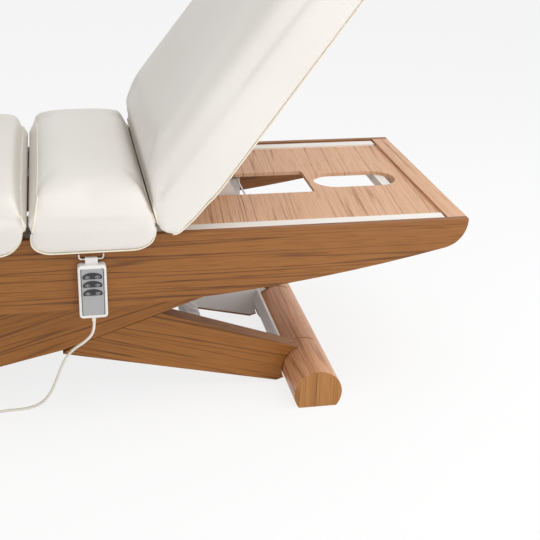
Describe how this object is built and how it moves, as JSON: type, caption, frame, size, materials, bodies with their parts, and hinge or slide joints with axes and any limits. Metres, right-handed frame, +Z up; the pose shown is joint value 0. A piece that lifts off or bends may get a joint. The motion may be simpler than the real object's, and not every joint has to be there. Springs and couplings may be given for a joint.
{
  "type": "spa treatment table",
  "caption": "Upholstered spa treatment table with oak platform, raised backrest, leg rest and electric scissor-lift base on round wooden feet",
  "frame": {"origin": "on the floor under the middle of the platform", "axes": "+X to the head end, +Y away from the hand control, +Z up"},
  "size_m": [2.11, 0.777, 1.2292],
  "materials": {
    "oak": "satin oak veneer",
    "oak_foot": "satin oak",
    "white_rail": "white lacquered wood",
    "grey_steel": "light grey powder coat",
    "bright_steel": "plain steel",
    "plywood": "birch plywood",
    "upholstery": "off-white leatherette over foam",
    "actuator_case": "black plastic housing",
    "roller": "white nylon",
    "control_white": "white plastic",
    "control_grey": "grey plastic plate",
    "control_key": "dark rubber keys",
    "cord": "cream cord sheath"
  },
  "bodies": {
    "base": {"left_foot": "oak_foot", "left_foot_axle": "bright_steel"},
    "arm_a": {"arm_a_near_cladding": "oak", "arm_a_far_cladding": "oak", "arm_a_frame": "grey_steel", "lift_lever": "grey_steel", "center_axle": "bright_steel", "arm_a_rollers": "roller", "arm_a_upper_pins": "bright_steel"},
    "arm_b": {"arm_b_near_cladding": "oak", "arm_b_far_cladding": "oak", "arm_b_frame": "grey_steel", "lift_anchor_bracket": "grey_steel", "lift_anchor_pin": "bright_steel", "arm_b_upper_pins": "bright_steel"},
    "right_foot": {"right_foot": "oak_foot", "right_foot_axle": "bright_steel"},
    "platform": {"near_side_panel": "oak", "far_side_panel": "oak", "end_boards": "oak", "side_rails": "white_rail", "head_deck": "oak", "foot_deck": "oak", "long_tubes": "grey_steel", "cross_tubes": "grey_steel", "stub_tubes": "grey_steel", "cross_rod": "bright_steel", "roller_tracks": "grey_steel", "arm_brackets": "grey_steel", "anchor_brackets": "grey_steel", "anchor_pins": "bright_steel", "control_box": "actuator_case", "hinge_ears": "grey_steel", "hinge_pins": "bright_steel", "seat_board": "plywood", "seat_pads": "roller", "seat_cushion": "upholstery", "control_hook": "bright_steel", "cord_gland": "actuator_case", "control_cord": "cord"},
    "backrest": {"back_board": "plywood", "back_cushion": "upholstery", "back_hinge_arms": "grey_steel", "back_lever": "grey_steel"},
    "leg_rest": {"leg_board": "plywood", "leg_cushion": "upholstery", "leg_hinge_arms": "grey_steel", "leg_lever": "grey_steel"},
    "lift_actuator": {"lift_actuator_housing": "actuator_case"},
    "lift_rod": {"lift_actuator_rod": "bright_steel"},
    "back_actuator": {"back_actuator_housing": "actuator_case"},
    "back_rod": {"back_actuator_rod": "bright_steel"},
    "leg_actuator": {"leg_actuator_housing": "actuator_case"},
    "leg_rod": {"leg_actuator_rod": "bright_steel"},
    "hand_control": {"control_case": "control_white", "control_face": "control_grey", "cord_relief": "cord"},
    "key_1": {"control_key_1": "control_key"},
    "key_2": {"control_key_2": "control_key"},
    "key_3": {"control_key_3": "control_key"}
  },
  "joints": [
    {"name": "lift", "type": "hinge", "parent": "base", "child": "arm_a", "pos_m": [-0.679, 0, 0.04], "axis": [0, -1, 0], "range_deg": [0, 13]},
    {"name": "scissor_pivot", "type": "hinge", "parent": "arm_a", "child": "arm_b", "pos_m": [0, 0, 0.233], "axis": [0, -1, 0], "range_deg": [-26.05, 0]},
    {"name": "platform_pivot", "type": "hinge", "parent": "arm_b", "child": "platform", "pos_m": [-0.5, 0, 0.37512], "axis": [0, -1, 0], "range_deg": [0, 13.05]},
    {"name": "right_foot_pivot", "type": "hinge", "parent": "arm_b", "child": "right_foot", "pos_m": [0.679, 0, 0.04], "axis": [0, -1, 0], "range_deg": [0, 13.05]},
    {"name": "backrest_tilt", "type": "hinge", "parent": "platform", "child": "backrest", "pos_m": [0.264, 0, 0.526], "axis": [0, -1, 0], "range_deg": [-53.6, 11.4]},
    {"name": "leg_rest_tilt", "type": "hinge", "parent": "platform", "child": "leg_rest", "pos_m": [-0.038, 0, 0.526], "axis": [0, 1, 0], "range_deg": [0, 25]},
    {"name": "lift_actuator_swing", "type": "hinge", "parent": "arm_b", "child": "lift_actuator", "pos_m": [0.36, 0, 0.16], "axis": [0, -1, 0], "range_deg": [0, 5.38]},
    {"name": "lift_rod_slide", "type": "slide", "parent": "lift_actuator", "child": "lift_rod", "axis": [-0.7678, 0, 0.6407], "range_m": [0, 0.0738]},
    {"name": "back_actuator_swing", "type": "hinge", "parent": "platform", "child": "back_actuator", "pos_m": [-0.15, 0, 0.345], "axis": [0, -1, 0], "range_deg": [-3.63, 0.85]},
    {"name": "back_rod_slide", "type": "slide", "parent": "back_actuator", "child": "back_rod", "axis": [0.9942, 0, 0.1072], "range_m": [-0.1465, 0.0316]},
    {"name": "leg_actuator_swing", "type": "hinge", "parent": "platform", "child": "leg_actuator", "pos_m": [0.36, 0, 0.35], "axis": [0, 1, 0], "range_deg": [0, 3.86]},
    {"name": "leg_rod_slide", "type": "slide", "parent": "leg_actuator", "child": "leg_rod", "axis": [-0.9968, 0, 0.0805], "range_m": [0, 0.058]},
    {"name": "control_lift_off", "type": "slide", "parent": "platform", "child": "hand_control", "axis": [0, 0, 1], "range_m": [0, 0.007]},
    {"name": "key_1_rock", "type": "hinge", "parent": "hand_control", "child": "key_1", "pos_m": [0.104, -0.385, 0.423], "axis": [0, 0, 1], "range_deg": [-2.5, 2.5], "stiffness_Nm_per_rad": 0.4},
    {"name": "key_2_rock", "type": "hinge", "parent": "hand_control", "child": "key_2", "pos_m": [0.104, -0.385, 0.4005], "axis": [0, 0, 1], "range_deg": [-2.5, 2.5], "stiffness_Nm_per_rad": 0.4},
    {"name": "key_3_rock", "type": "hinge", "parent": "hand_control", "child": "key_3", "pos_m": [0.104, -0.385, 0.378], "axis": [0, 0, 1], "range_deg": [-2.5, 2.5], "stiffness_Nm_per_rad": 0.4}
  ],
  "couplings": [
    {"joint": "scissor_pivot", "follows": "lift", "ratio": -2},
    {"joint": "platform_pivot", "follows": "lift", "ratio": 1},
    {"joint": "right_foot_pivot", "follows": "lift", "ratio": 1},
    {"joint": "lift_actuator_swing", "follows": "lift", "ratio": 0.4059},
    {"joint": "lift_rod_slide", "follows": "lift", "m_per_rad": 0.32092},
    {"joint": "back_actuator_swing", "follows": "backrest_tilt", "ratio": 0.06594},
    {"joint": "back_rod_slide", "follows": "backrest_tilt", "m_per_rad": 0.15631},
    {"joint": "leg_actuator_swing", "follows": "leg_rest_tilt", "ratio": 0.15032},
    {"joint": "leg_rod_slide", "follows": "leg_rest_tilt", "m_per_rad": 0.13073}
  ]
}
